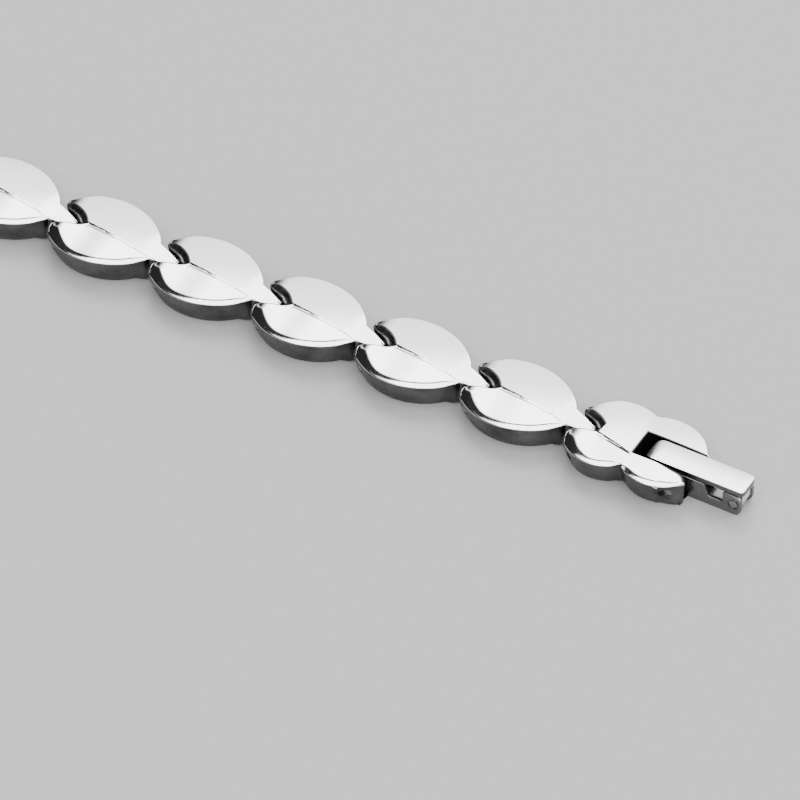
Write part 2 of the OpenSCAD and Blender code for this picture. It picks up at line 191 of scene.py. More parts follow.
class Plate:
    def __init__(self, lowAt):
        self.bm = bmesh.new()
        self.lowAt = lowAt
        self.byPlace, self.placeOf = {}, {}
        self.edgeFacts = {}

    def topPoint(self, x, y, z):
        key = placeKey(x, y)
        if key not in self.byPlace:
            self.byPlace[key] = self.bm.verts.new((x, y, z))
            self.placeOf[self.byPlace[key]] = key
        return self.byPlace[key]

    def markEdge(self, side, place, wall, slide, finish=shadedWallFinish, flat=0.0, drop=None):
        # slide is the plan step of the wall for each millimetre down, flat is how far the rim is
        # a slanting band in place of a round
        x, y, wallY = place[0], side * place[1], side * wall[1]
        key = placeKey(x, y)
        if key not in self.edgeFacts:
            reach = math.hypot(wall[0] - x, wallY - y)
            fall = (reach if drop is None else drop) * mix(1, plateSizes["bandFall"], flat)
            self.edgeFacts[key] = ((wall[0], wallY), fall, (slide[0], side * slide[1]), finish, flat)

    def rows(self, grid):
        for before, after in zip(grid, grid[1:]):
            for k in range(len(before) - 1):
                corners = []
                for vert in (before[k], before[k + 1], after[k + 1], after[k]):
                    if vert not in corners:
                        corners.append(vert)
                if len(corners) > 2:
                    face = self.bm.faces.get(corners) or self.bm.faces.new(corners)
                    face.material_index = topFinish

    def rimLoop(self):
        # the top's open edge, point after point
        self.bm.verts.index_update()
        rimEdges = [edge for edge in self.bm.edges if len(edge.link_faces) == 1]
        nextOf = {}
        for edge in rimEdges:
            for a, b in ((edge.verts[0], edge.verts[1]), (edge.verts[1], edge.verts[0])):
                nextOf.setdefault(a, []).append(b)
        loop, previous = [rimEdges[0].verts[0]], None
        while True:
            here = loop[-1]
            following = next(vert for vert in nextOf[here] if vert is not previous)
            previous = here
            if following is loop[0] or len(loop) > len(rimEdges):
                break
            loop.append(following)
        if len(loop) != len(rimEdges):
            raise ValueError(f"the rim has {len(rimEdges)} edges but a loop of {len(loop)}")
        return loop

    def close(self):
        # rings of points go round the rim, down the wall and in under the foot
        bm, p = self.bm, plateSizes
        loop = self.rimLoop()
        facts = [self.edgeFacts[self.placeOf[vert]] for vert in loop]
        bands = slantingBand()
        shape = [("round", k / len(bands), band) for k, band in enumerate(bands, 1)]
        shape += [("wall", k / p["wallRows"], None) for k in range(1, p["wallRows"] + 1)]
        shape.append(("foot", 0, None))
        rings = [loop]
        for kind, share, band in shape:
            ring = []
            for vert, (wall, drop, slide, _, flat) in zip(loop, facts):
                x, y, z = vert.co
                gapX, gapY = wall[0] - x, wall[1] - y
                length = math.hypot(gapX, gapY) or 1.0
                outX, outY = gapX / length, gapY / length
                low = self.lowAt(wall[0])
                shoulder = z - drop
                if kind == "round":
                    turn = 0.5 * math.pi * share
                    along, fall = mix(math.sin(turn), band[0], flat), mix(1 - math.cos(turn), band[1], flat)
                    place = (x + gapX * along, y + gapY * along, z - drop * fall)
                elif kind == "wall":
                    height = mix(shoulder, low + p["footRound"], share)
                    down = shoulder - height
                    place = (wall[0] + slide[0] * down, wall[1] + slide[1] * down, height)
                else:
                    down = shoulder - low
                    place = (wall[0] + slide[0] * down - outX * p["footRound"] * p["footInset"],
                             wall[1] + slide[1] * down - outY * p["footRound"] * p["footInset"], low)
                ring.append(bm.verts.new(place))
            rings.append(ring)
        count = len(loop)
        for (kind, _, _), upper, lower in zip(shape, rings, rings[1:]):
            for k in range(count):
                face = bm.faces.new((upper[k], upper[(k + 1) % count], lower[(k + 1) % count], lower[k]))
                # walls take the satin steel painted dark as shade, and the notch's rolled rims take the notch
                # steel, also painted shade
                if kind != "round" or facts[k][3] == shadedNotchFinish:
                    face.material_index = facts[k][3]
        base = bm.faces.new(rings[-1])
        base.material_index = backFinish
        bmesh.ops.triangulate(bm, faces=[base])
        bmesh.ops.recalc_face_normals(bm, faces=bm.faces[:])


def unitNormals(points, side):
    # unit normals to one side of a line of points
    normals = []
    for k in range(len(points)):
        a, b = points[max(k - 1, 0)], points[min(k + 1, len(points) - 1)]
        alongX, alongV = b[0] - a[0], b[1] - a[1]
        length = math.hypot(alongX, alongV) or 1.0
        normals.append((-side * alongV / length, side * alongX / length))
    return normals


def inwards(points, side, widths):
    normals = unitNormals(points, side)
    return [(p[0] - n[0] * w, p[1] - n[1] * w) for p, n, w in zip(points, normals, widths)]


def curveThrough(points, count):
    # smooth line through points, with count places on it
    places = []
    ghost = [(2 * points[0][0] - points[1][0], 2 * points[0][1] - points[1][1])] + list(points)
    ghost.append((2 * points[-1][0] - points[-2][0], 2 * points[-1][1] - points[-2][1]))
    spans = len(points) - 1
    for k in range(count):
        t = spans * k / (count - 1)
        n = min(int(t), spans - 1)
        t -= n
        place = []
        for axis in (0, 1):
            a, b, c, d = (point[axis] for point in ghost[n:n + 4])
            place.append(0.5 * (2 * b + (c - a) * t + (2 * a - 5 * b + 4 * c - d) * t * t
                                + (3 * b - a - 3 * c + d) * t ** 3))
        places.append(tuple(place))
    return places


def evenly(start, end, count):
    return [(mix(start[0], end[0], k / count), mix(start[1], end[1], k / count)) for k in range(1, count + 1)]


def alongRow(start, end, count):
    return [mix(start, end, k / count) for k in range(1, count + 1)]


def picked(points, count):
    return [points[round(k * (len(points) - 1) / count)] for k in range(count + 1)]


def softLower(a, b, width):
    # the lower of two heights, with a soft turn between them
    h = min(max(0.5 + 0.5 * (b - a) / width, 0.0), 1.0)
    return mix(b, a, h) - width * h * (1 - h)


def softHigher(a, b, width):
    return -softLower(-a, -b, width)


# Regular link
linkSizes = {
    "halfWidth": 4.7, "outlineRadius": 7.4, "rimHeight": 3.2, "rimRadius": 0.52,
    "wallLean": math.radians(15), "leanFade": (5.4, 6.2),
    "domeRadius": 80.0, "domeStart": 6.85, "domeFade": 0.9,
    "hornDroop": 0.5, "droopStart": -3.5, "droopRun": 2.0, "hornRound": 0.3,
    "archX": -5.1, "archOff": 2.15, "archRadius": 3.35, "archMouth": 0.5, "roll": 0.7,
    "mouthSlide": 0.09, "mouthFade": (-5.2, -4.2),
    "step": 0.22, "stepStart": -4.4, "stepTop": -1.67, "stepEnd": 2.4, "stepPlace": 3,
    "groove": 0.04, "grooveWidth": 0.03, "groovePlace": 5,
    "strip": (0.0, 0.025, 0.05, 0.08, 0.26, 0.3, 0.34, 0.42),        # close columns along the crease
    "neckX": 6.25, "neckHalfWidth": 1.25, "neckCorner": (0.13, 0.22),
    "neckSoft": 0.3, "softFrom": 5.2, "softTo": 7.0,
    "tipX": 8.8, "tipHalfWidth": 0.56, "tipRound": 0.22, "tipDrop": 0.3, "tipBulge": 0.04, "tipCorner": 0.12,
    "tongueTop": 3.22, "tongueSlope": 0.435, "tongueFrom": 3.5, "tongueSoft": 0.6, "tongueRound": 0.12,
    "rearRim": 0.18, "rearRimRun": (-4.8, -2.6), "neckRim": 0.25, "neckRimRun": (5.0, 6.25),
    "bandWidth": 0.62, "hornBand": 1.2, "bandRun": (-5.0, -1.2),
    "tongueLow": 0.35, "lowRun": (5.6, 6.3), "noseX": 7.85, "noseZ": 1.3, "noseRadius": 0.95, "noseEnd": 8.6,
    "pinBack": 4.15, "pinHeight": 1.3, "pinBore": 0.84, "pinReach": 6, "tongueBore": 0.96, "tongueReach": 2,
    "magnetX": 1.2, "magnetBore": 4.04, "magnetLow": -1, "magnetTop": 1.32,
    "notchRows": 26, "creaseRows": 44, "tongueRows": 18, "columns": 14, "splitX": -1.35,
}
# where the slanting band fades in at the horn and out at the neck, or at the end of a prong
bandSizes = {"hornFade": (-5.3, -4.9), "neckFade": (5.6, 6.2), "prongFrom": 6.3, "prongFade": (7.6, 8.3)}
hornSizes = {"places": 49, "cornerPlace": 10, "mouthPlace": 30, "slimPlace": 12, "widePlace": 26,
             "leafRoll": 0.25, "rollRun": (0.3, 0.95), "crowding": 0.85, "endSlide": 0.5}
# outlines of the horns, from the outer line round the end and into the notch
hornTurns = {
    "link": ((-5.0, 2.77), (-5.24, 2.5), (-5.4, 2.12), (-5.4, 1.78), (-5.2, 1.5), (-4.9, 1.28),
             (-4.6, 1.165)),
    "endFront": ((-5.05, 3.1), (-5.3, 2.78), (-5.44, 2.3), (-5.42, 1.83), (-5.2, 1.5), (-4.9, 1.28),
                 (-4.6, 1.165)),
    "endRear": ((-4.8, 2.55), (-5.03, 2.26), (-5.2, 1.98), (-5.24, 1.7), (-5.1, 1.46), (-4.86, 1.27),
                (-4.6, 1.165)),
}
# the leaf's edge inside the front horns, place for place
leafTurns = {
    "link": ((-4.12, 1.98), (-4.36, 1.93), (-4.56, 1.82), (-4.66, 1.69), (-4.66, 1.57), (-4.58, 1.46),
             (-4.4, 1.34)),
    "endFront": ((-4.3, 2.25), (-4.55, 2.15), (-4.72, 2.0), (-4.8, 1.84), (-4.76, 1.66), (-4.62, 1.49),
                 (-4.4, 1.34)),
}


def domeHeight(x, v, centreX, centreOff, domeStart):
    s = linkSizes
    reach = math.hypot(x - centreX, v + centreOff)
    ball = s["domeRadius"]
    return s["rimHeight"] + math.sqrt(ball ** 2 - reach ** 2) - math.sqrt(ball ** 2 - domeStart ** 2)


def hornDroop(x):
    s = linkSizes
    return s["hornDroop"] * max((s["droopStart"] - x) / s["droopRun"], 0.0) ** 2


def creaseStep(x):
    s = linkSizes
    if x < s["stepTop"]:
        return s["step"] * smoothStep(s["stepStart"], s["stepTop"], x)
    return s["step"] * (1 - smoothStep(s["stepTop"], s["stepEnd"], x))


def arcReach(x, radius, off):
    return math.sqrt(max(radius ** 2 - x ** 2, 0.0)) - off


def notchPair(t, extra):
    # place t of the way from the mouth to the point, on the notch's arc grown by extra
    s = linkSizes
    radius = s["archRadius"] + extra
    first = math.asin(s["archMouth"] / s["archRadius"])
    last = math.acos(s["archOff"] / radius)
    turn = mix(first, last, t)
    return (s["archX"] + radius * math.sin(turn), radius * math.cos(turn) - s["archOff"])


def hornRows(turn, side, last=1.0):
    # rows of a horn's outer corner, rows along its side of the notch, and its end
    s, h = linkSizes, hornSizes
    leaf = leafTurns.get(turn) if side == front else None
    line = curveThrough(hornTurns[turn], h["places"])
    widths = [mix(mix(s["rimRadius"], s["hornRound"], smoothStep(0, h["slimPlace"], k)), s["roll"],
                  smoothStep(h["widePlace"], h["places"] - 1, k)) for k in range(h["places"])]
    insets = curveThrough(leaf, h["places"]) if leaf else inwards(line, -1, widths)
    roll = h["leafRoll"] if leaf else s["roll"]
    corner, mouth = h["cornerPlace"], h["mouthPlace"]
    outer = list(zip(line[corner::-2], insets[corner::-2]))
    inner = list(zip(line[mouth::3], insets[mouth::3]))
    left = s["notchRows"] - len(inner) + 1
    for k in range(1, left + 1):
        t = (k / left) ** h["crowding"] * last
        inset = notchPair(t, mix(roll, s["roll"], smoothStep(*h["rollRun"], t)))
        inner.append((notchPair(t, 0), inset))
    endWall, endInset = (picked(points[corner:mouth + 1], s["columns"])[::-1] for points in (line, insets))
    return outer, [(wall, inset, False) for wall, inset in inner], (endInset, endWall, None, h["endSlide"])


def spacing(width, columns, strip):
    # places of a row's columns, as distances from its inner end; the strip is a third of a narrow row
    shrink = min(1.0, width / (strip[-1] * 3.0))
    close = [place * shrink for place in strip]
    left = columns - len(close) + 1
    return close + [mix(close[-1], width, k / left) for k in range(1, left + 1)]


def between(inner, outer, distances):
    width = math.hypot(outer[0] - inner[0], outer[1] - inner[1]) or 1.0
    return [(mix(inner[0], outer[0], d / width), mix(inner[1], outer[1], d / width)) for d in distances]


def slideOf(wall, inset, lean):
    gapX, gapV = wall[0] - inset[0], wall[1] - inset[1]
    length = math.hypot(gapX, gapV) or 1.0
    return (-gapX / length * math.tan(lean), -gapV / length * math.tan(lean))


def bandShare(x, side):
    # how far the rim is a slanting band
    b = bandSizes
    if side == rear:
        return 0
    if x > b["prongFrom"]:
        return 1 - smoothStep(*b["prongFade"], x)
    return smoothStep(*b["hornFade"], x) * (1 - smoothStep(*b["neckFade"], x))


def buildHalf(plate, side, outer, inner, firstEnd, lastEnd, heightFor, leanAt, innerSlide):
    # outer holds (wall, inset) for each row, inner (wall or None, inset, lies on the crease);
    # an end is (inset places, wall places, drop, share of the corner's slide that it keeps along the band)
    s = linkSizes
    grid, last = [], len(outer) - 1
    for j, ((outWall, outInset), (inWall, inInset, onCrease)) in enumerate(zip(outer, inner)):
        width = math.hypot(outInset[0] - inInset[0], outInset[1] - inInset[1])
        distances = spacing(width, s["columns"], s["strip"])
        end = firstEnd if j == 0 else lastEnd if j == last else None
        places = end[0] if end else between(inInset, outInset, distances)
        row = []
        for (x, v), away in zip(places, distances):
            height = heightFor(x, side * v, side, away if onCrease else None)
            row.append(plate.topPoint(x, side * v, height))
        grid.append(row)
        flat = bandShare(outWall[0], side)
        slide = slideOf(outWall, outInset, leanAt(outWall[0]))
        if end:
            slide = (slide[0] * (end[3] > 0), slide[1])
        plate.markEdge(side, places[-1], outWall, slide, flat=flat)
        if inWall:
            onTongue = inWall[0] > s["neckX"] and not end and leanAt(inWall[0]) == 0
            plate.markEdge(side, places[0], inWall, (innerSlide(inWall[0]), 0.0),
                           shadedWallFinish if onTongue else shadedNotchFinish)
        if end:
            for k, (place, wall) in enumerate(zip(end[0], end[1])):
                t = 1 - k / s["columns"]
                endSlide = (slide[0] * mix(1, end[3], t), slide[1] * (1 - t))
                plate.markEdge(side, place, wall, endSlide, flat=flat * max(1 - 2 * t, 0), drop=end[2])
    plate.rows(grid)


# Taking bores out of a mesh, and finishing it
def cylinderInto(bm, radius, start, end, segments=40):
    along = Vector(end) - Vector(start)
    place = along.to_track_quat("Z", "Y").to_matrix().to_4x4()
    place.translation = (Vector(start) + Vector(end)) / 2
    bmesh.ops.create_cone(bm, cap_ends=True, segments=segments, radius1=radius, radius2=radius,
                          depth=along.length, matrix=place)


def evaluatedMesh(thing, name):
    graph = bpy.context.evaluated_depsgraph_get()
    graph.update()
    mesh = bpy.data.meshes.new_from_object(thing.evaluated_get(graph), preserve_all_data_layers=True,
                                           depsgraph=graph)
    mesh.name = name
    return mesh


def combined(name, mesh, toolMesh, operation="DIFFERENCE"):
    body, tool = addObject(name + "_raw", mesh), addObject(name + "_tool", toolMesh)
    change = body.modifiers.new("combine", "BOOLEAN")
    change.operation, change.solver, change.object = operation, "EXACT", tool
    change.material_mode = "TRANSFER"
    done = evaluatedMesh(body, name)
    bpy.data.objects.remove(body)
    bpy.data.objects.remove(tool)
    return done


def acrossBore(diameter, x, z, reach):
    return (diameter / 2, (x, -reach, z), (x, reach, z))


def cutBores(name, mesh, bores, finish):
    cutter = bmesh.new()
    for radius, start, end in bores:
        cylinderInto(cutter, radius, start, end)
    return combined(name, mesh, bmMesh(cutter, name + "_bores", finish))


def finishMesh(mesh, sharp=38.0, move=(0, 0, 0)):
    # from millimetres about the piece's own middle to metres in the band's frame
    for vert in mesh.vertices:
        vert.co = (vert.co + Vector(move)) * mm
    mesh.shade_smooth()
    mesh.set_sharp_from_angle(angle=math.radians(sharp))
    mesh.update()
    return mesh


def petalHeight(dome):
    # the front petal lies a little lower than the rear one along the crease
    s = linkSizes
    stepWidth, grooveAt = s["strip"][s["stepPlace"]], s["strip"][s["groovePlace"]]

    def heightFor(x, y, side, away):
        rearTop = dome(x, y, rear)
        if side == rear:
            return rearTop
        frontTop = dome(x, y, front)
        if away is None:
            return frontTop - creaseStep(x)
        height = mix(rearTop, frontTop, smoothStep(0.0, s["domeFade"], away))
        height -= creaseStep(x) * smoothStep(0.0, stepWidth, away)
        return height - s["groove"] * math.exp(-((away - grooveAt) / s["grooveWidth"]) ** 2)
    return heightFor


def tongueTop(x):
    s = linkSizes
    return s["tongueTop"] - s["tongueSlope"] * (x - s["neckX"])


def lensDome(x, y, side):
    s = linkSizes
    height = domeHeight(x, y * side, 0.0, s["outlineRadius"] - s["halfWidth"], s["domeStart"]) - hornDroop(x)
    return softLower(height, tongueTop(x), s["tongueSoft"]) if x > s["tongueFrom"] else height


def linkLow(x):
    # the base is flat, then rises under the tongue and rounds up at its nose
    s = linkSizes
    if x <= s["lowRun"][0]:
        return 0.0
    if x > s["noseX"]:
        return s["noseZ"] - arcReach(min(x, s["noseEnd"]) - s["noseX"], s["noseRadius"], 0.0)
    return s["tongueLow"] * smoothStep(*s["lowRun"], x)


def linkLean(x):
    return linkSizes["wallLean"] * (1 - smoothStep(*linkSizes["leanFade"], x))


def mouthSlide(x):
    return linkSizes["mouthSlide"] * (1 - smoothStep(*linkSizes["mouthFade"], x))


def tongueHalf(x):
    s = linkSizes
    return mix(s["neckHalfWidth"], s["tipHalfWidth"], (x - s["neckX"]) / (s["tipX"] - s["neckX"]))


def lensReach(x):
    s = linkSizes
    return arcReach(x, s["outlineRadius"], s["outlineRadius"] - s["halfWidth"])


def rimWidth(x, side):
    s = linkSizes
    if side == front:
        width = mix(s["hornBand"], s["bandWidth"], smoothStep(*s["bandRun"], x))
        return mix(width, s["neckRim"], smoothStep(*s["neckRimRun"], x))
    return mix(s["rimRadius"], s["rearRim"], smoothStep(*s["rearRimRun"], x))


def lensOuter(xs, side):
    # wall and inset places of the arc, the rim's width narrowing towards the neck
    s = linkSizes
    off = s["outlineRadius"] - s["halfWidth"]
    pairs = []
    for x in xs:
        v = arcReach(x, s["outlineRadius"], off)
        if side == rear and x > s["softFrom"]:
            v = softHigher(v, tongueHalf(x), s["neckSoft"])
        keep = 1 - rimWidth(x, side) / math.hypot(x, v + off)
        pairs.append(((x, v), (x * keep, (v + off) * keep - off)))
    return pairs


# The far end link has a plain slot in place of the notch
farSizes = {"end": 5.2, "slotX": 1.6, "slotHalfWidth": 1.63, "slotRound": 0.15, "corner": (0.3, 0.42),
            "sideRows": 14, "endRows": 10, "splitX": -0.9}


def farRows():
    # rows of the square back corner, rows along the slot, and the end
    f = farSizes
    back, slotX, slotV, edge = -f["end"], -f["slotX"], f["slotHalfWidth"], f["slotRound"]
    inner = [((x, slotV), (mix(back + edge, slotX + edge, (x - back) / (slotX - back)), slotV + edge), False)
             for x in [back] + alongRow(back, slotX, f["sideRows"])]
    inner += [((slotX, v), (slotX + edge, v * (slotV + edge) / slotV), False)
              for v in alongRow(slotV, 0.0, f["endRows"])]
    reach = lensReach(back)
    inset = (back + f["corner"][0], reach - f["corner"][1])
    spots = [k / linkSizes["columns"] for k in range(linkSizes["columns"] + 1)]
    end = ([(back + mix(edge, f["corner"][0], t), mix(slotV + edge, inset[1], t)) for t in spots],
           [(back, mix(slotV, reach, t)) for t in spots], None, 0)
    return [((back, reach), inset)], inner, end


def tongueRows(corner):
    # rows from the neck to the tip, and the tip's end
    s = linkSizes
    outer, inner = [], []
    tipX, half = s["tipX"] - s["tipRound"], s["tipHalfWidth"] - s["tongueRound"]
    for k in range(1, s["tongueRows"] + 1):
        t = k / s["tongueRows"]
        x = mix(s["neckX"], s["tipX"], t)
        inset = (mix(corner[0], tipX, t), mix(corner[1], half, t))
        reach = tongueHalf(x)
        softReach = softHigher(lensReach(x), reach, s["neckSoft"]) if x < s["softTo"] else reach
        outer.append(((x, softReach), (inset[0], inset[1] + softReach - reach)))
        inner.append(((x, -reach), (inset[0], -inset[1]), False))
    spots = [mix(-1, 1, k / s["columns"]) for k in range(s["columns"] + 1)]
    insets = [(tipX + s["tipBulge"] * (1 - p * p), p * half) for p in spots]
    walls = [(s["tipX"] - s["tipCorner"] * abs(p) ** 4, p * s["tipHalfWidth"]) for p in spots]
    return outer, inner, (insets, walls, s["tipDrop"], 0)


def buildLensHalf(plate, side, notched):
    s = linkSizes
    outer, inner, firstEnd = hornRows("link", side) if notched else farRows()
    tip = inner[-1][1]
    inner[-1] = (inner[-1][0], (tip[0], 0.0), True)
    splitX = s["splitX"] if notched else farSizes["splitX"]
    xs = alongRow(outer[-1][0][0], splitX, len(inner) - len(outer))
    xs += alongRow(xs[-1], s["neckX"], s["creaseRows"])
    outer += lensOuter(xs, side)
    neckV = s["neckHalfWidth"]
    corner = (s["neckX"] - s["neckCorner"][0], neckV - s["neckCorner"][1])       # set in from the neck's edge
    outer[-1] = ((s["neckX"], softHigher(neckV, neckV, s["neckSoft"]) if side == rear else neckV), corner)
    crease = evenly((tip[0], 0.0), (corner[0], -corner[1]), s["creaseRows"])
    inner += [(None, (x, y * side), True) for x, y in crease]
    lastEnd = None
    if side == rear:
        # the tongue is built with the rear half
        inner[-1] = ((s["neckX"], -neckV), (corner[0], -corner[1]), True)
        tongueOuter, tongueInner, lastEnd = tongueRows(corner)
        outer += tongueOuter
        inner += tongueInner
    buildHalf(plate, side, outer, inner, firstEnd, lastEnd, petalHeight(lensDome), linkLean,
              mouthSlide if notched else lambda x: 0.0)


def makeLensPlate(name, notched):
    # a regular link, or with a slot in place of the notch the far end link
    s = linkSizes
    plate = Plate(linkLow)
    for side in (front, rear):
        buildLensHalf(plate, side, notched)
    plate.close()
    bores = [acrossBore(s["pinBore"], -s["pinBack"], s["pinHeight"], s["pinReach"]),
             acrossBore(s["tongueBore"], s["noseX"], s["noseZ"], s["tongueReach"])]
    if notched:
        low, top = ((s["magnetX"], 0, z) for z in (s["magnetLow"], s["magnetTop"]))
        bores.append((s["magnetBore"] / 2, low, top))
    # the bores take the notch steel, painted dark as the shade inside them
    return cutBores(name, bmMesh(plate.bm, name, *steels), bores, shadedNotchSteel)


linkMesh = makeLensPlate("link_shape", True)
print("link:", len(linkMesh.polygons), "faces")


# Geometry Nodes: the run of links
runSizes = {"count": 14, "pitch": 12.0}


def compareFinish(tree, attribute, value):
    node = addNode(tree, "FunctionNodeCompare", {"A": attribute, "B": value},
                   data_type="INT", operation="EQUAL")
    return node.outputs["Result"]


def linkRunTree(materials):
    tree = bpy.data.node_groups.new("link_run", "GeometryNodeTree")
    tree.is_modifier = True
    for name, kind in (("Geometry", "Geometry"), ("Link", "Object"), ("Count", "Int"), ("Pitch", "Float"),
                       ("First", "Float")):
        tree.interface.new_socket(name=name, in_out="INPUT", socket_type="NodeSocket" + kind)
    tree.interface.new_socket(name="Geometry", in_out="OUTPUT", socket_type="NodeSocketGeometry")
    inputs, outputs = tree.nodes.new("NodeGroupInput").outputs, tree.nodes.new("NodeGroupOutput").inputs
    start = addNode(tree, "ShaderNodeCombineXYZ", {"X": inputs["First"]}).outputs["Vector"]
    step = addNode(tree, "ShaderNodeCombineXYZ", {"X": inputs["Pitch"]}).outputs["Vector"]
    line = addNode(tree, "GeometryNodeMeshLine", {"Count": inputs["Count"], "Start Location": start,
                                                  "Offset": step}, mode="OFFSET")
    shape = addNode(tree, "GeometryNodeObjectInfo", {"Object": inputs["Link"]})
    copies = addNode(tree, "GeometryNodeInstanceOnPoints", {"Points": line.outputs["Mesh"],
                                                            "Instance": shape.outputs["Geometry"]})
    real = addNode(tree, "GeometryNodeRealizeInstances", {"Geometry": copies.outputs["Instances"]})
    finish = addNode(tree, "GeometryNodeInputNamedAttribute", {"Name": "finish"}, data_type="INT")
    geometry = real.outputs["Geometry"]
    for value, material in enumerate(materials):
        chosen = compareFinish(tree, finish.outputs["Attribute"], value)
        paint = addNode(tree, "GeometryNodeSetMaterial", {"Geometry": geometry, "Selection": chosen,
                                                          "Material": material})
        geometry = paint.outputs["Geometry"]
    tree.links.new(geometry, outputs["Geometry"])
    return tree


def socketId(tree, name):
    return next(item.identifier for item in tree.interface.items_tree
                if item.item_type == "SOCKET" and item.in_out == "INPUT" and item.name == name)


def nodeMiddle(node):
    low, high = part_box(node)
    return (low + high) / 2


linkMesh = finishMesh(linkMesh)
finishes = linkMesh.attributes.new("finish", "INT", "FACE")
for face, item in zip(linkMesh.polygons, finishes.data):
    item.value = steels.index(linkMesh.materials[face.material_index])
linkSource = addObject("link_source", linkMesh)
runTree = linkRunTree(steels)
runHost = addObject("link_run_host", bpy.data.meshes.new("link_run_host"))
run = runHost.modifiers.new("run", "NODES")
run.node_group = runTree
firstX = nodeMiddle("magnet_01").x - linkSizes["magnetX"] * mm
run[socketId(runTree, "Link")] = linkSource
run[socketId(runTree, "Count")] = runSizes["count"]
run[socketId(runTree, "Pitch")] = runSizes["pitch"] * mm
run[socketId(runTree, "First")] = firstX
linkRunMesh = evaluatedMesh(runHost, "links")
runHost.modifiers.remove(run)
bpy.data.objects.remove(runHost)
bpy.data.objects.remove(linkSource)
links = addObject("links", linkRunMesh)
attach(links, "root")
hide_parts(*[f"link_{k:02d}" for k in range(1, runSizes["count"] + 1)])
print("run of links:", len(linkRunMesh.polygons), "faces")


def placePiece(name, mesh, body, slotName, *nodes):
    piece = addObject(name, mesh)
    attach(piece, body)
    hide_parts(*nodes)


# Far end link, with a slot and the catch pin in it
farX = nodeMiddle("catch_pin").x / mm + linkSizes["pinBack"]
farMesh = finishMesh(makeLensPlate("far_end_link", False), move=(farX, 0, 0))
placePiece("far_end_plate", farMesh, "root", "polished_steel", "far_end_link")
print("far end link:", len(farMesh.polygons), "faces")


# End link, a double leaf with a slot that the clasp swings in
endSizes = {
    "turn": {front: "endFront", rear: "endRear"},
    "lobes": {front: ((-1.5, 4.8), (4.6, 4.8)), rear: ((-0.6, 5.2), (4.05, 5.2))}, "lobeBlend": 0.04,
    "prongEnd": {front: 8.36, rear: 8.72}, "creaseFrom": 0.72, "endRound": 0.3, "endBulge": 0.04,
    "slotX": 1.95, "slotHalfWidth": 1.63, "slotRound": 0.13,
    "tipCurve": 0.97, "tipFrom": 6.6, "tipRun": 1.76, "tipInset": 0.12, "tipLeast": 0.03,
    "edgeWiden": 0.38, "widenRun": (4.6, 7.4), "edgeNarrow": 0.2, "narrowRun": (7.6, 8.36),
    "rearRimRun": (-4.6, -2.4), "rearEndRun": (7.4, 8.7), "frontEndRun": (6.6, 8.3),
    "waistX": 1.55, "waistRun": 0.5, "waistNarrow": 0.45,
    "leanLoss": 0.6, "leanRun": (6.4, 8.3), "prongSlide": 0.07, "slideRun": (7.0, 8.3),
    "creaseRows": 22, "turnRows": 8, "slotEndRows": 12, "prongRows": 36,
    "swingX": 6.9, "swingZ": 1.7, "swingBore": 0.94, "recess": 1.5, "recessFrom": {front: 3.5, rear: 3.3},
}


def lobeReach(lobes, x):
    return max(arcReach(x - middle, radius, radius - linkSizes["halfWidth"]) for middle, radius in lobes)


def prongSide(x, side):
    # the front prong's inner side curves out to its rounded tip
    e = endSizes
    if side == rear:
        return e["slotHalfWidth"]
    return e["slotHalfWidth"] + e["tipCurve"] * max((x - e["tipFrom"]) / e["tipRun"], 0.0) ** 4


def prongEdge(x, side):
    # width of the soft edge between the slot and the top
    e = endSizes
    if side == rear:
        return e["slotRound"]
    return (e["slotRound"] + e["edgeWiden"] * smoothStep(*e["widenRun"], x)
            - e["edgeNarrow"] * smoothStep(*e["narrowRun"], x))


def lobeRim(x, side):
    s, e = linkSizes, endSizes
    if side == rear:
        return mix(mix(s["rimRadius"], s["rearRim"], smoothStep(*e["rearRimRun"], x)), e["endRound"],
                   smoothStep(*e["rearEndRun"], x))
    waist = math.exp(-((x - e["waistX"]) / e["waistRun"]) ** 2)
    width = mix(s["hornBand"], s["bandWidth"], smoothStep(*s["bandRun"], x)) - e["waistNarrow"] * waist
    return mix(width, e["endRound"], smoothStep(*e["frontEndRun"], x))


def endDome(x, y, side):
    s, e = linkSizes, endSizes
    first, second = [domeHeight(x, y * side, middle, radius - s["halfWidth"], radius - s["rimRadius"])
                     for middle, radius in e["lobes"][side]]
    return softHigher(first, second, e["lobeBlend"]) - hornDroop(x)


def endLean(x):
    return linkSizes["wallLean"] * (1 - endSizes["leanLoss"] * smoothStep(*endSizes["leanRun"], x))


def endSlide(x):
    return mouthSlide(x) - endSizes["prongSlide"] * smoothStep(*endSizes["slideRun"], x)


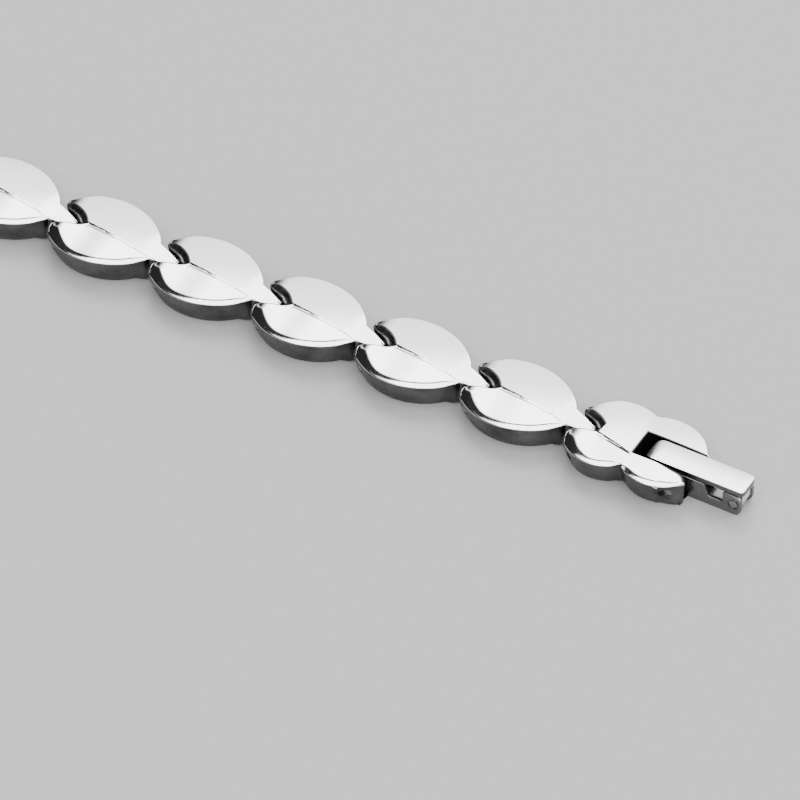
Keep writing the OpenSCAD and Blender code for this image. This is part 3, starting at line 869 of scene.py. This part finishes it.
def endInnerRows(side, inner):
    # goes on from the notch along the crease, across the slot's end and along the prong
    s, e = linkSizes, endSizes
    slotX, slotV = e["slotX"], e["slotHalfWidth"]
    corner = (slotX - e["slotRound"], slotV + e["slotRound"])
    creaseWall, creaseStart = notchPair(e["creaseFrom"], 0), notchPair(e["creaseFrom"], s["roll"])
    if side == rear:
        # the far half goes round the notch's point to where the crease starts
        inner[-1] = (inner[-1][0], (inner[-1][1][0], 0.0), False)
        for t in alongRow(1.0, e["creaseFrom"], e["turnRows"]):
            wall, inset = notchPair(t, 0), notchPair(t, s["roll"])
            inner.append(((wall[0], -wall[1]), (inset[0], -inset[1]), False))
    inner[-1] = ((creaseWall[0], -side * creaseWall[1]), (creaseStart[0], -side * creaseStart[1]), True)
    crease = evenly((creaseStart[0], -creaseStart[1]), (corner[0], -corner[1]), e["creaseRows"])
    inner += [(None, (x, y * side), True) for x, y in crease]
    inner[-1] = ((slotX, -slotV * side), (corner[0], -corner[1] * side), True)
    if side == rear:
        inner += [((slotX, t * slotV), (corner[0], t * corner[1]), False)
                  for t in alongRow(-1, 1, e["slotEndRows"])]
    prongEnd = e["prongEnd"][side]
    for x in alongRow(slotX, prongEnd, e["prongRows"]):
        insetX = mix(corner[0], prongEnd - e["endRound"], (x - slotX) / (prongEnd - slotX))
        reach = prongSide(x, side)
        inner.append(((x, reach), (insetX, reach + prongEdge(x, side)), False))


def buildEndHalf(plate, side):
    s, e = linkSizes, endSizes
    prongEnd, lobes = e["prongEnd"][side], e["lobes"][side]
    outer, inner, firstEnd = hornRows(e["turn"][side], side, e["creaseFrom"] if side == front else 1.0)
    endInnerRows(side, inner)
    waist = (lobes[0][0] + lobes[1][0]) / 2
    beforeWaist = s["notchRows"] + e["creaseRows"] - len(outer)
    if side == rear:
        beforeWaist += e["slotEndRows"] + e["turnRows"]
    xs = alongRow(outer[-1][0][0], waist, beforeWaist)
    xs += alongRow(waist, prongEnd, len(inner) - len(outer) - beforeWaist)
    line = [outer[-1][0]] + [(x, lobeReach(lobes, x)) for x in xs]
    insets = inwards(line, 1, [lobeRim(place[0], side) for place in line])
    outer += list(zip(line[1:], insets[1:]))
    lastWall, lastInset, _ = inner[-1]
    lastV = line[-1][1]
    cornerV = max(lastV - e["tipInset"], lastInset[1] + e["tipLeast"])
    outer[-1] = (line[-1], (prongEnd - e["endRound"], cornerV))
    spots = [k / s["columns"] for k in range(s["columns"] + 1)]
    insets = [(lastInset[0], mix(lastInset[1], cornerV, t)) for t in spots]
    walls = [(prongEnd + e["endBulge"] * (1 - (2 * t - 1) ** 2), mix(lastWall[1], lastV, t)) for t in spots]
    lastEnd = (insets, walls, None, 1)
    buildHalf(plate, side, outer, inner, firstEnd, lastEnd, petalHeight(endDome), endLean, endSlide)


def makeEndLink(name):
    s, e = linkSizes, endSizes
    plate = Plate(lambda x: 0.0)
    for side in (front, rear):
        buildEndHalf(plate, side)
    plate.close()
    # bores and recesses take the notch steel, painted dark as the shade inside them
    bores = [acrossBore(s["pinBore"], -s["pinBack"], s["pinHeight"], s["pinReach"]),
             acrossBore(e["swingBore"], e["swingX"], e["swingZ"], s["pinReach"])]
    mesh = cutBores(name, bmMesh(plate.bm, name, *steels), bores, shadedNotchSteel)
    recesses = [(e["recess"] / 2, (e["swingX"], side * e["recessFrom"][side], e["swingZ"]),
                 (e["swingX"], side * s["pinReach"], e["swingZ"])) for side in (front, rear)]
    return cutBores(name, mesh, recesses, shadedNotchSteel)


endX = nodeMiddle("link_pin_15").x / mm + linkSizes["pinBack"]
endMesh = finishMesh(makeEndLink("end_link_plate"), move=(endX, 0, 0))
placePiece("end_plate", endMesh, "root", "polished_steel", "end_link")
print("end link:", len(endMesh.polygons), "faces")


# Clasp: a channel with ears that swings in the end link, and the lever that closes over it
claspSizes = {
    "swingX": 6.9, "swingZ": 1.7, "hingeX": 13.1, "hingeZ": 1.35, "halfWidth": 1.42, "sideThick": 0.45,
    "floor": 0.5, "sideHeight": 2.5, "ledge": 1.1, "sideEnd": 9.95, "earFront": 11.9, "earHeight": 2.45,
    "earRadius": 0.85, "earRound": 0.15, "footBack": 0.15,
    "swingBore": 1.06, "hingeBore": 0.94, "boreReach": 3,
    "edgeRound": 0.07, "channelFrom": 0.8, "floorEnd": 0.1, "pinRing": 0.62, "ringDepth": 0.1,
    "leverLow": 2.65, "leverThick": 0.6, "leverStart": 3.2, "leverEnd": 14.1, "leverCorner": 0.7,
    "endCorner": 0.45, "leverRound": 0.14, "barrel": 0.75, "innerGap": 0.1, "leverBore": 1.06, "rootIn": 0.3,
    "lugStart": 10.6, "lugLength": 1.0, "lugDrop": 0.7,
    "bendInner": 4.4, "bendOuter": 13.2, "innerCut": 0.15, "outerCut": 0.12, "cuts": 8,
    "innerBend": 0.16, "outerBend": 0.06, "steep": 0.6, "sideIn": 0.1, "endIn": 0.2,
}
claspOutside = {"low": -1, "high": 4, "far": 15.5}        # past the clasp, for the cutter
# the side walls fall to the ledge: along from the wall's end, and up from the ledge or the wall's top
ledgeLine = ((0.65, 0.0), (0.42, 0.06), (0.28, 0.3), (0.12, 0.75))
wallTopLine = ((0.02, -0.32), (-0.12, -0.1), (-0.36, 0.0))
# the heel behind the swing pin: along from its back, and up
heelLine = ((0.0, 0.5), (0.15, 0.18))
heelTop, heelEnd = 0.65, (-0.4, 0.03)        # heelEnd is along from the swing pin


def arcPlaces(middle, radius, first, last, count):
    turns = [math.radians(mix(first, last, k / count)) for k in range(count + 1)]
    return [(middle[0] + radius * math.cos(turn), middle[1] + radius * math.sin(turn)) for turn in turns]


def prism(outline, low, high, axis="Y"):
    # closed prism of an outline, across the band or upright
    bm = bmesh.new()
    ends = []
    for level in (low, high):
        ends.append([bm.verts.new((a, level, b) if axis == "Y" else (a, b, level)) for a, b in outline])
    for k in range(len(outline)):
        n = (k + 1) % len(outline)
        bm.faces.new((ends[0][k], ends[0][n], ends[1][n], ends[1][k]))
    bm.faces.new(ends[0])
    bm.faces.new(ends[1][::-1])
    bmesh.ops.recalc_face_normals(bm, faces=bm.faces[:])
    return bm


def bevelled(name, mesh, width, segments=3, angle=30):
    thing = addObject(name + "_plain", mesh)
    edge = thing.modifiers.new("edges", "BEVEL")
    edge.width, edge.segments, edge.limit_method = width, segments, "ANGLE"
    edge.angle_limit = math.radians(angle)
    edge.use_clamp_overlap = True
    done = evaluatedMesh(thing, name)
    bpy.data.objects.remove(thing)
    return done


def claspOutline():
    # side view: foot, ear, ledge, side wall and the round heel on the swing pin
    c = claspSizes
    knuckle, small = c["sideHeight"] - c["swingZ"], c["earRound"]
    back = c["swingX"] - knuckle
    outline = [(c["swingX"] - c["footBack"], 0.0), (c["hingeX"], 0.0)]
    outline += arcPlaces((c["hingeX"], c["earRadius"]), c["earRadius"], -90, 0, 8)[1:]
    outline += arcPlaces((c["hingeX"], c["earHeight"] - c["earRadius"]), c["earRadius"], 0, 90, 8)
    outline += arcPlaces((c["earFront"] + small, c["earHeight"] - small), small, 90, 180, 4)
    outline.append((c["earFront"], c["ledge"] + small))
    outline += arcPlaces((c["earFront"] - small, c["ledge"] + small), small, 0, -90, 4)[1:]
    outline += curveThrough([(c["sideEnd"] + along, c["ledge"] + up) for along, up in ledgeLine]
                            + [(c["sideEnd"] + along, c["sideHeight"] + up) for along, up in wallTopLine], 19)
    outline += arcPlaces((c["swingX"], c["swingZ"]), knuckle, 90, 180, 10)
    outline.append((back, heelTop))
    return outline + curveThrough([(back + along, up) for along, up in heelLine]
                                  + [(c["swingX"] + heelEnd[0], heelEnd[1])], 7)


def makeClaspBase():
    c, past = claspSizes, claspOutside
    base = bmMesh(prism(claspOutline(), -c["halfWidth"], c["halfWidth"]), "clasp_outline", shadedClaspSteel)
    inner = c["halfWidth"] - c["sideThick"]
    start, ear, cut = c["swingX"] + c["channelFrom"], c["earFront"], c["floorEnd"]
    channel = [(start, c["floor"]), (ear - cut, c["floor"]), (ear, c["floor"] - cut), (ear, past["low"]),
               (past["far"], past["low"]), (past["far"], past["high"]), (start, past["high"])]
    cutter = bmMesh(prism(channel, -inner, inner), "channel", shadedClaspSteel)
    base = combined("clasp_channelled", base, cutter)
    base = bevelled("clasp_edged", base, c["edgeRound"])
    base = cutBores("clasp_bored", base, [
        acrossBore(c["swingBore"], c["swingX"], c["swingZ"], c["boreReach"]),
        acrossBore(c["hingeBore"], c["hingeX"], c["hingeZ"], c["boreReach"])], shadedClaspSteel)
    rings = [(c["pinRing"], (c["hingeX"], side * (c["halfWidth"] - c["ringDepth"]), c["hingeZ"]),
              (c["hingeX"], side * c["boreReach"], c["hingeZ"])) for side in (front, rear)]
    return cutBores("clasp_ringed", base, rings, shadedClaspSteel)


def makeLever():
    c = claspSizes
    half, corner, last = c["halfWidth"], c["leverCorner"], c["endCorner"]
    startX, endPlace = c["leverStart"] + corner, c["leverEnd"] - last
    plan = arcPlaces((startX, corner - half), corner, 180, 270, 8)
    plan += arcPlaces((endPlace, last - half), last, 270, 360, 5)
    plan += arcPlaces((endPlace, half - last), last, 0, 90, 5)
    plan += arcPlaces((startX, half - corner), corner, 90, 180, 8)
    top = c["leverLow"] + c["leverThick"]
    root = top - c["rootIn"]
    plate = bmMesh(prism(plan, c["leverLow"], top, "Z"), "lever_plate", coverSteel)
    inner = half - c["sideThick"] - c["innerGap"]
    hook = arcPlaces((c["hingeX"], c["hingeZ"]), c["barrel"], 180, 360, 24)
    hook += [(c["hingeX"] + c["barrel"], root), (c["hingeX"] - c["barrel"], root)]
    lugEnd, lugLow = c["lugStart"] + c["lugLength"], c["leverLow"] - c["lugDrop"]
    lug = [(c["lugStart"], root), (c["lugStart"], lugLow), (lugEnd, lugLow), (lugEnd, root)]
    for name, outline in (("lever_barrel", hook), ("lever_lug", lug)):
        added = bmMesh(prism(outline, -inner, inner), name, coverSteel)
        plate = combined(name + "_added", plate, added, "UNION")
    plate = bevelled("lever_edged", plate, c["leverRound"], 4, 50)
    bore = acrossBore(c["leverBore"], c["hingeX"], c["hingeZ"], c["boreReach"])
    return bentEnds(cutBores("lever_bored", plate, [bore], shadedClaspSteel))


def bentEnds(mesh):
    # both ends of the lever's plate turn down a little, and its sides and far end are a little less polished
    # and painted darker as shade
    c = claspSizes
    bm = bmesh.new()
    bm.from_mesh(mesh)
    cuts = [c["bendInner"] - c["innerCut"] * k for k in range(c["cuts"])]
    cuts += [c["bendOuter"] + c["outerCut"] * k for k in range(c["cuts"])]
    for x in cuts:
        bmesh.ops.bisect_plane(bm, geom=bm.verts[:] + bm.edges[:] + bm.faces[:], dist=1e-6,
                               plane_co=(x, 0, 0), plane_no=(1, 0, 0))
    for vert in bm.verts:
        if vert.co.z > c["leverLow"] - 0.01:
            inner, outer = max(c["bendInner"] - vert.co.x, 0.0), max(vert.co.x - c["bendOuter"], 0.0)
            vert.co.z -= c["innerBend"] * inner ** 2 + c["outerBend"] * outer ** 2
    bm.normal_update()
    shadedSideFinish = len(mesh.materials)
    mesh.materials.append(shadedLeverSide)
    for face in bm.faces:
        middle = face.calc_center_median()
        onSide = abs(face.normal.z) < c["steep"] and abs(middle.y) > c["halfWidth"] - c["sideIn"]
        onEnd = face.normal.x > c["steep"] and middle.x > c["leverEnd"] - c["endIn"]
        if onSide or onEnd:
            face.material_index = shadedSideFinish
    bm.to_mesh(mesh)
    bm.free()
    return mesh


claspMesh = finishMesh(makeClaspBase(), 32, (endX, 0, 0))
placePiece("clasp_channel", claspMesh, "clasp", "satin_steel", "clasp_base")
leverMesh = finishMesh(makeLever(), 32, (endX, 0, 0))
placePiece("clasp_lever", leverMesh, "lever", "polished_steel", "clasp_cover")
print("clasp:", len(claspMesh.polygons), "faces, lever:", len(leverMesh.polygons), "faces")


# Pins and magnets keep their solids
for nodeName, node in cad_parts.items():
    if "pin" in nodeName or "magnet" in nodeName:
        finish = magnetFace if "magnet" in nodeName else shadedPinSteel
        for place in node.material_slots:
            place.material = finish


# Floor, lights and camera
floorSizes = {"reach": 6.0, "drop": 0.00002, "dark": (0.22, 0.22, 0.222), "light": (0.235, 0.235, 0.237),
              "grain": 900, "grainDetail": 5, "roughness": 0.55}
lampSizes = {"place": (-0.5, 0.9, 1.4), "aim": (0.03, 0, 0), "size": (0.8, 0.8), "power": 20}
cameraSizes = {"distance": 0.7685, "elevation": 44.27, "azimuth": 29.85, "focal": 347.43, "sensor": 36.0,
               "aim": (0.06239, -0.00376, 0.0), "near": 0.05, "far": 50}
# stops are (degrees up from the horizon behind the band, over the top to the one in front, brightness);
# runs are where a light fades in from side to side
studioSizes = {
    "behind": ((0, 0.05), (16, 0.16), (28, 0.3), (39, 0.44), (46, 0.85), (51, 1.0), (64, 1.0), (69, 0.0),
               (180, 0.0)),
    "above": ((0, 0.0), (77, 0.0), (84, 0.9), (140, 0.9), (156, 0.16), (180, 0.1)),
    "behindRun": (-0.33, -0.1), "aboveRun": (-0.72, -0.5), "tongueShift": 13, "shiftRun": (0.1, 0.55),
    "dim": 0.004, "strength": 6.5,
}


def makeFloor():
    f = floorSizes
    material, tree, shader = newMaterial("pale_floor")
    grain = noiseNode(tree, f["grain"], detail=f["grainDetail"])
    tree.links.new(tint(tree, spread(tree, grain.outputs["Fac"], 0, 1), f["dark"], f["light"]),
                   shader.inputs["Base Color"])
    shader.inputs["Roughness"].default_value = f["roughness"]
    r, z = f["reach"], -f["drop"]
    mesh = bpy.data.meshes.new("floor")
    mesh.from_pydata([(-r, -r, z), (r, -r, z), (r, r, z), (-r, r, z)], [], [(0, 1, 2, 3)])
    mesh.materials.append(material)
    addObject("floor", mesh)


def softbox(name, place, aim, size, power):
    data = bpy.data.lights.new(name, "AREA")
    data.shape, data.size, data.size_y, data.energy = "RECTANGLE", size[0], size[1], power
    lamp = addObject(name, data)
    lamp.location = place
    lamp.visible_glossy = False        # the steel reflects the studio's soft panels alone
    lamp.rotation_euler = (Vector(aim) - Vector(place)).to_track_quat("-Z", "Y").to_euler()


def mathNode(tree, operation, a, b):
    return addNode(tree, "ShaderNodeMath", {0: a, 1: b}, operation=operation).outputs["Value"]


def window(tree, source, low, high):
    # soft edge of a light: dark below, full above
    return spread(tree, source, 0.0, 1.0, low, high, "SMOOTHSTEP")


def lightRamp(tree, angle, stops):
    ramp = tree.nodes.new("ShaderNodeValToRGB")
    ramp.color_ramp.interpolation = "EASE"
    while len(ramp.color_ramp.elements) > 1:
        ramp.color_ramp.elements.remove(ramp.color_ramp.elements[-1])
    for k, (degrees, value) in enumerate(stops):
        item = ramp.color_ramp.elements[0] if k == 0 else ramp.color_ramp.elements.new(degrees / 180)
        item.position = degrees / 180
        item.color = (value, value, value, 1)
    tree.links.new(spread(tree, angle, 0.0, 1.0, 0.0, math.pi), ramp.inputs["Fac"])
    return ramp.outputs["Color"]


def alongAxis(tree, source, axis):
    node = addNode(tree, "ShaderNodeVectorMath", {0: source, 1: axis}, operation="DOT_PRODUCT")
    return node.outputs["Value"]


def makeStudio():
    # two soft panels, one behind the band and one above it
    s = studioSizes
    world = bpy.data.worlds.new("studio")
    world.use_nodes = True
    tree = world.node_tree
    tree.nodes.clear()
    new, link = tree.nodes.new, tree.links.new
    out, background = new("ShaderNodeOutputWorld"), new("ShaderNodeBackground")
    turn = math.radians(cameraSizes["azimuth"])
    way = new("ShaderNodeTexCoord").outputs["Generated"]
    up = alongAxis(tree, way, (0, 0, 1))
    behind = alongAxis(tree, way, (-math.sin(turn), math.cos(turn), 0))
    aside = alongAxis(tree, way, (math.cos(turn), math.sin(turn), 0))
    angle = mathNode(tree, "ARCTAN2", up, behind)
    # towards the clasp's side the light behind reaches higher, for the sloping tongues
    shift = mathNode(tree, "MULTIPLY", window(tree, aside, *s["shiftRun"]), math.radians(s["tongueShift"]))
    shifted = mathNode(tree, "SUBTRACT", angle, shift)
    rearLight = mathNode(tree, "MULTIPLY", lightRamp(tree, shifted, s["behind"]),
                         window(tree, aside, *s["behindRun"]))
    topLight = mathNode(tree, "MULTIPLY", lightRamp(tree, angle, s["above"]),
                        window(tree, aside, *s["aboveRun"]))
    total = mathNode(tree, "ADD", mathNode(tree, "ADD", rearLight, topLight), s["dim"])
    link(total, background.inputs["Color"])
    background.inputs["Strength"].default_value = s["strength"]
    link(background.outputs["Background"], out.inputs["Surface"])
    bpy.context.scene.world = world


def makeCamera():
    c = cameraSizes
    data = bpy.data.cameras.new("camera")
    data.lens, data.sensor_width, data.sensor_fit = c["focal"], c["sensor"], "HORIZONTAL"
    data.clip_start, data.clip_end = c["near"], c["far"]
    camera = addObject("camera", data)
    up, turn = math.radians(c["elevation"]), math.radians(c["azimuth"])
    back = Vector((math.sin(turn) * math.cos(up), -math.cos(turn) * math.cos(up), math.sin(up)))
    camera.location = Vector(c["aim"]) + back * c["distance"]
    camera.rotation_euler = back.to_track_quat("Z", "Y").to_euler()
    bpy.context.scene.camera = camera


makeFloor()
makeStudio()
softbox("key_light", **lampSizes)
makeCamera()
print("stage made")
